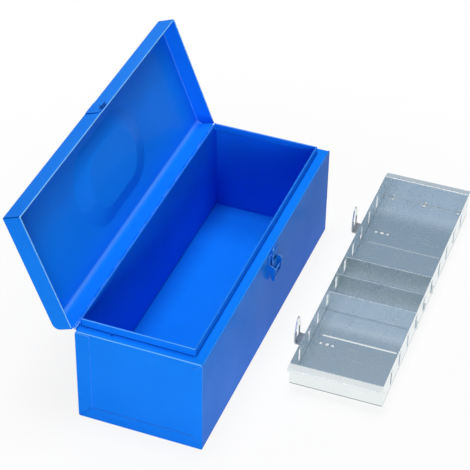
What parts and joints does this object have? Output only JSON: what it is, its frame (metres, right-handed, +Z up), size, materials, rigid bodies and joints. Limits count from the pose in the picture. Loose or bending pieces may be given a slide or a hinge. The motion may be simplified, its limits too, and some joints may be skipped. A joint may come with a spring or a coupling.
{
  "type": "portable tool box",
  "caption": "Portable sheet steel tool box with a hinged lid, a front toggle latch, a folding carrying handle and a loose lift-out tray with dividers.",
  "frame": {"origin": "middle of the box's footprint, on the surface it stands on", "axes": "+X along the box to its far end, +Y to the hinge side, -Y to the latch side, +Z up"},
  "size_m": [0.6267, 0.4647, 0.3208],
  "materials": {
    "blue_paint": "semi-gloss blue powder coat",
    "galvanised": "galvanised sheet, dull with a soft spangle",
    "plated_steel": "bright zinc plating"
  },
  "bodies": {
    "box": {"body_wrapper": "blue_paint", "end_panel_near": "blue_paint", "end_panel_far": "blue_paint", "hinge_body_leaf": "blue_paint", "hinge_pin": "plated_steel", "latch_base": "blue_paint", "latch_pivot_rivets": "blue_paint"},
    "lid": {"lid_shell": "blue_paint", "hinge_lid_leaf": "blue_paint", "catch_plate": "blue_paint", "handle_bracket_near": "blue_paint", "handle_bracket_far": "blue_paint"},
    "handle": {"carry_handle": "plated_steel"},
    "lever": {"latch_lever": "blue_paint", "latch_link_pin": "blue_paint"},
    "link": {"latch_link": "blue_paint"},
    "tray": {"tray_floor": "galvanised", "tray_wall_front": "galvanised", "tray_wall_rear": "galvanised", "tray_end_near": "galvanised", "tray_end_far": "galvanised", "tray_loop_near": "galvanised", "tray_loop_far": "galvanised"},
    "divider_1": {"divider_near": "galvanised"},
    "divider_2": {"divider_middle": "galvanised"},
    "divider_3": {"divider_far": "galvanised"}
  },
  "joints": [
    {"name": "lid_hinge", "type": "hinge", "parent": "box", "child": "lid", "pos_m": [0, 0.09095, 0.1478], "axis": [1, 0, 0], "range_deg": [0, 111]},
    {"name": "handle_pivot", "type": "hinge", "parent": "lid", "child": "handle", "pos_m": [0, 0.14308, 0.21664], "axis": [1, 0, 0], "range_deg": [-12, 159]},
    {"name": "lever_pivot", "type": "hinge", "parent": "box", "child": "lever", "pos_m": [0.008, -0.0945, 0.119], "axis": [-1, 0, 0], "range_deg": [0, 120]},
    {"name": "link_pivot", "type": "hinge", "parent": "lever", "child": "link", "pos_m": [0.008, -0.0939, 0.112], "axis": [1, 0, 0], "range_deg": [0, 120]},
    {"name": "tray_lift", "type": "slide", "parent": "box", "child": "tray", "axis": [0, 0, 1], "range_m": [0, 0.15]},
    {"name": "divider_1_lift", "type": "slide", "parent": "tray", "child": "divider_1", "axis": [0, 0, 1], "range_m": [0, 0.008]},
    {"name": "divider_2_lift", "type": "slide", "parent": "tray", "child": "divider_2", "axis": [0, 0, 1], "range_m": [0, 0.008]},
    {"name": "divider_3_lift", "type": "slide", "parent": "tray", "child": "divider_3", "axis": [0, 0, 1], "range_m": [0, 0.008]}
  ],
  "couplings": [
    {"joint": "link_pivot", "follows": "lever_pivot", "ratio": 1}
  ]
}
